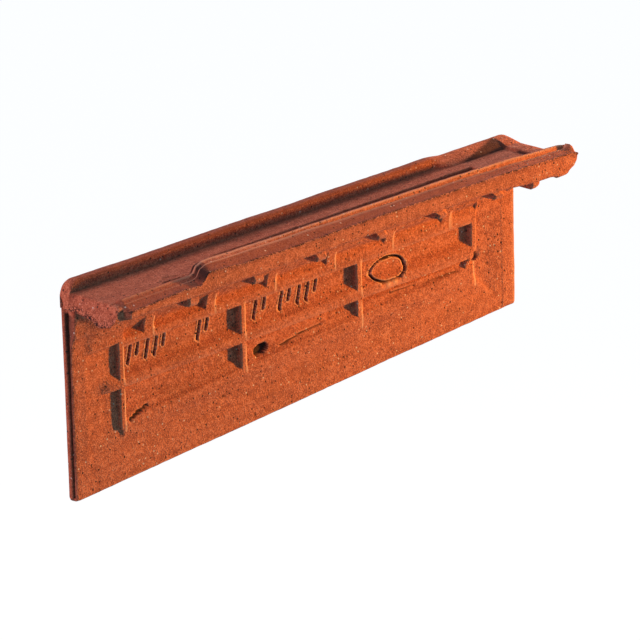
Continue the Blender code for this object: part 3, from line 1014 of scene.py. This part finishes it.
def clay_tone_group():
    """Colours the clay, with painted shade in hollows, on the lip's front and the rim's wall and in recesses,
    dark specks along the torn burr, paler convex arrises and painted highlights on the lit arrises.
    """
    colours = ("Clay", "Dark Clay", "Pale Clay")
    masks = ("Grain", "Pits", "Flecks", "Mottle", "Drag", *(label for label, _ in LAYERS))
    tree, given, out = group_with(
        "clay_tone",
        [(label, "NodeSocketColor") for label in colours] + [(label, "NodeSocketFloat") for label in masks],
        [("Color", "NodeSocketColor")],
    )
    dark, pale = given["Dark Clay"], given["Pale Clay"]
    colour = mix_colour(tree, fade(tree, given["Mottle"], 0.40, 0.72, 0.0, 0.26), given["Clay"], pale)
    colour = mix_colour(tree, fade(tree, given["Mottle"], 0.52, 0.28, 0.0, 0.20), colour, dark)
    colour = mix_colour(tree, fade(tree, given["Drag"], 0.56, 0.36, 0.0, 0.36), colour, dark)
    colour = mix_colour(tree, fade(tree, given["Grain"], 0.51, 0.38, 0.0, 0.75), colour, dark)
    colour = mix_colour(tree, fade(tree, given["Grain"], 0.50, 0.62, 0.0, 0.72), colour, pale)
    # Painted shade in hollows
    colour = mix_colour(tree, maths(tree, "MULTIPLY", given["Hollow Shade"], 0.55), colour, dark)
    # Painted shade on the lip's front and the rim's inner wall
    colour = mix_colour(tree, maths(tree, "MULTIPLY", given["Lip Rim Shade"], 0.6), colour, dark)
    # Paler on every convex arris
    colour = mix_colour(tree, maths(tree, "MULTIPLY", given["Arris"], 0.65), colour, pale)
    # Painted highlight on the arrises the key light falls on
    colour = mix_colour(tree, maths(tree, "MULTIPLY", given["Highlight Paint"], 0.9), colour, HIGHLIGHT_TINT)
    # Dark specks along the torn burr
    speckled = fade(tree, given["Grain"], 0.54, 0.46, 0.0, 1.0)
    colour = mix_colour(tree, maths(tree, "MULTIPLY", given["Burr"], speckled), colour, BURR_SPECKS)
    # Painted shade in the groove, the fold, the strokes and other recesses
    colour = mix_colour(tree, maths(tree, "MULTIPLY", given["Painted Shade"], 0.93), colour, SHADE_COLOUR)
    colour = mix_colour(tree, maths(tree, "MULTIPLY", given["Pits"], 0.85), colour, PIT_SHADE)
    colour = mix_colour(tree, maths(tree, "MULTIPLY", given["Flecks"], 0.75), colour, FLECK)
    tree.links.new(colour, out["Color"])
    return tree


def clay_material(look):
    material = bpy.data.materials.new("fired_clay")
    material.use_nodes = True
    tree = material.node_tree
    shader = tree.nodes["Principled BSDF"]
    shader.inputs["Specular IOR Level"].default_value = 0.22
    where = add(tree, "ShaderNodeTexCoord").outputs["Object"]
    grain = add(tree, "ShaderNodeGroup", node_tree=clay_grain_group())
    tree.links.new(where, grain.inputs["Vector"])
    tone = add(tree, "ShaderNodeGroup", node_tree=clay_tone_group())
    colours = {"Clay": look.clay_colour, "Dark Clay": look.dark_colour, "Pale Clay": look.pale_colour}
    for label, colour in colours.items():
        tone.inputs[label].default_value = (*colour, 1.0)
    for label in ("Grain", "Pits", "Flecks", "Mottle", "Drag"):
        tree.links.new(grain.outputs[label], tone.inputs[label])
    for label, name in LAYERS:
        layer = add(tree, "ShaderNodeAttribute", attribute_name=name)
        tree.links.new(layer.outputs["Fac"], tone.inputs[label])
    tree.links.new(tone.outputs["Color"], shader.inputs["Base Color"])
    tree.links.new(fade(tree, grain.outputs["Mottle"], 0.3, 0.7, 0.74, 0.92), shader.inputs["Roughness"])
    sunk = maths(tree, "MULTIPLY", grain.outputs["Pits"], 0.9)
    height = maths(tree, "SUBTRACT", grain.outputs["Grain"], sunk)
    height = maths(tree, "ADD", height, maths(tree, "MULTIPLY", grain.outputs["Drag"], 0.55))
    bump = add(tree, "ShaderNodeBump", {"Height": height, "Strength": look.grain_relief, "Distance": 0.0014})
    tree.links.new(bump.outputs["Normal"], shader.inputs["Normal"])
    return material


class VergeTileLook(bpy.types.PropertyGroup):
    """The tile's finish."""

    clay_colour: bpy.props.FloatVectorProperty(
        name="Clay", description="Colour of the fired clay", subtype="COLOR", size=3,
        default=(0.57, 0.128, 0.054), min=0.0, max=1.0,
    )
    # Dark clay is also what the painted shade in hollows and on the lip's front and rim wall mixes towards
    dark_colour: bpy.props.FloatVectorProperty(
        name="Dark clay", description="Colour in hollows and of the darker grains", subtype="COLOR", size=3,
        default=(0.30, 0.060, 0.030), min=0.0, max=1.0,
    )
    # Pale clay is mixed onto every convex arris and onto the paler grains
    pale_colour: bpy.props.FloatVectorProperty(
        name="Pale clay", description="Colour of worn edges and of the paler grains", subtype="COLOR", size=3,
        default=(0.78, 0.235, 0.125), min=0.0, max=1.0,
    )
    grain_relief: bpy.props.FloatProperty(
        name="Grain", description="Depth of the sandy grain", default=0.75, min=0.0, max=1.0
    )
    unevenness: bpy.props.FloatProperty(
        name="Unevenness", description="How far pressed surfaces wander from true",
        default=1.0, min=0.0, max=3.0,
    )


class VergeTileStage(bpy.types.PropertyGroup):
    """Where the tile is seen from, and its light."""

    azimuth: bpy.props.FloatProperty(
        name="Azimuth", description="Side the camera looks from", subtype="ANGLE", default=math.radians(45.3)
    )
    pitch: bpy.props.FloatProperty(
        name="Pitch", description="How far the camera looks down", subtype="ANGLE", default=math.radians(19.4)
    )
    roll: bpy.props.FloatProperty(
        name="Roll", description="How far the camera leans", subtype="ANGLE", default=math.radians(-1.4)
    )
    distance: bpy.props.FloatProperty(
        name="Distance", description="From the camera to the tile", unit="LENGTH", default=3.704
    )
    lens: bpy.props.FloatProperty(name="Lens", description="Focal length in millimetres", default=292.5)
    key_power: bpy.props.FloatProperty(name="Key light", description="Power of the key light", default=88.0)
    fill_power: bpy.props.FloatProperty(
        name="Fill light", description="Power of the soft light at the tail", default=21.0
    )
    back_power: bpy.props.FloatProperty(
        name="Back light", description="Power of the soft light behind the head", default=21.0
    )
    sky: bpy.props.FloatProperty(name="Sky", description="Strength of the soft light all round", default=0.15)


class VERGE_OT_tile(bpy.types.Operator):
    """Build the clay tile in place of the plain one"""

    bl_idname = "verge.tile"
    bl_label = "Tile"

    def execute(self, context):
        look = context.scene.verge_look
        tile = build_skin("fired_tile", look.unevenness)
        tile.data.materials.append(clay_material(look))
        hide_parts("verge_tile")
        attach(tile, "root")
        return {"FINISHED"}


def camera_turn(stage):
    """The way the camera looks, and its rotation: azimuth, then pitch, then roll about its own axis."""
    forward = Vector(
        (
            math.sin(stage.azimuth) * math.cos(stage.pitch),
            math.cos(stage.azimuth) * math.cos(stage.pitch),
            -math.sin(stage.pitch),
        )
    )
    turn = forward.to_track_quat("-Z", "Y").to_matrix().to_4x4()
    return forward, turn @ Matrix.Rotation(stage.roll, 4, "Z")


def add_area(name, away, aim, size, power, colour):
    data = bpy.data.lights.new(name, "AREA")
    data.shape = "DISK"
    data.size = size
    data.energy = power
    data.color = colour
    lamp = bpy.data.objects.new(name, data)
    lamp.matrix_world = Matrix.Translation(aim + away) @ (-away).to_track_quat("-Z", "Y").to_matrix().to_4x4()
    bpy.context.scene.collection.objects.link(lamp)


def direction(side, rise):
    """Unit vector towards a light: degrees to the right of the inner face, and degrees up."""
    side, rise = math.radians(side), math.radians(rise)
    return Vector((math.sin(side) * math.cos(rise), -math.cos(side) * math.cos(rise), math.sin(rise)))


def soft_world(strength):
    """A faint cool light all round, seen by the camera as plain paper."""
    world = bpy.data.worlds.new("soft_light")
    world.use_nodes = True
    tree = world.node_tree
    faint = tree.nodes["Background"]
    faint.inputs["Color"].default_value = (0.90, 2.20, 3.15, 1.0)
    faint.inputs["Strength"].default_value = strength
    paper = add(tree, "ShaderNodeBackground", {"Color": PAPER, "Strength": 1.0})
    seen = add(tree, "ShaderNodeLightPath").outputs["Is Camera Ray"]
    both = add(tree, "ShaderNodeMixShader", {0: seen, 1: faint.outputs[0], 2: paper.outputs[0]})
    tree.links.new(both.outputs[0], tree.nodes["World Output"].inputs["Surface"])
    return world


class VERGE_OT_stage(bpy.types.Operator):
    """Set out the floor, the lights and the camera"""

    bl_idname = "verge.stage"
    bl_label = "Stage"

    def execute(self, context):
        scene, stage = context.scene, context.scene.verge_stage
        aim = place(249.4, 0.0, -88.0)
        forward, turn = camera_turn(stage)
        data = bpy.data.cameras.new("camera")
        data.lens = stage.lens
        data.sensor_width = 36.0
        data.clip_end = 50.0
        camera = bpy.data.objects.new("camera", data)
        camera.matrix_world = Matrix.Translation(aim - forward * stage.distance) @ turn
        scene.collection.objects.link(camera)
        scene.camera = camera

        bm = bmesh.new()
        bmesh.ops.create_grid(bm, x_segments=1, y_segments=1, size=12.0)
        bmesh.ops.translate(bm, verts=bm.verts, vec=(0.0, 0.0, LOW.z - 0.9))
        data = bpy.data.meshes.new("floor")
        bm.to_mesh(data)
        bm.free()
        floor = bpy.data.objects.new("floor", data)
        scene.collection.objects.link(floor)
        paper = bpy.data.materials.new("pale_floor")
        paper.use_nodes = True
        finish = paper.node_tree.nodes["Principled BSDF"].inputs
        finish["Base Color"].default_value = (0.10, 0.10, 0.10, 1.0)
        finish["Roughness"].default_value = 1.0
        finish["Specular IOR Level"].default_value = 0.0
        finish["Emission Color"].default_value = PAPER
        finish["Emission Strength"].default_value = 0.985
        data.materials.append(paper)
        floor.visible_diffuse = floor.visible_glossy = False

        add_area("key", direction(57.5, 4.0) * 2.25, aim, 0.22, stage.key_power, (1.0, 0.50, 0.03))
        add_area("fill", direction(-100.0, 25.0) * 2.0, aim, 0.7, stage.fill_power, (1.0, 0.57, 0.57))
        add_area("back", direction(120.0, 25.0) * 2.0, aim, 0.7, stage.back_power, (1.0, 0.50, 0.33))
        scene.world = soft_world(stage.sky)
        scene.view_settings.view_transform = "Standard"
        return {"FINISHED"}


class VERGE_PT_panel(bpy.types.Panel):
    """The steps, in the sidebar"""

    bl_label = "Verge Tile"
    bl_space_type = "VIEW_3D"
    bl_region_type = "UI"
    bl_category = "Verge Tile"

    def draw(self, context):
        layout = self.layout
        layout.prop(context.scene.verge_look, "clay_colour")
        layout.prop(context.scene.verge_look, "unevenness")
        for step in STEPS:
            layout.operator(step.bl_idname)


STEPS = (VERGE_OT_tile, VERGE_OT_stage)
CLASSES = (VergeTileLook, VergeTileStage, *STEPS, VERGE_PT_panel)


def register():
    for made in CLASSES:
        bpy.utils.register_class(made)
    bpy.types.Scene.verge_look = bpy.props.PointerProperty(type=VergeTileLook)
    bpy.types.Scene.verge_stage = bpy.props.PointerProperty(type=VergeTileStage)


def unregister():
    del bpy.types.Scene.verge_stage
    del bpy.types.Scene.verge_look
    for made in reversed(CLASSES):
        bpy.utils.unregister_class(made)


def main():
    register()
    bpy.ops.verge.tile()
    bpy.ops.verge.stage()


if __name__ == "__main__":
    main()
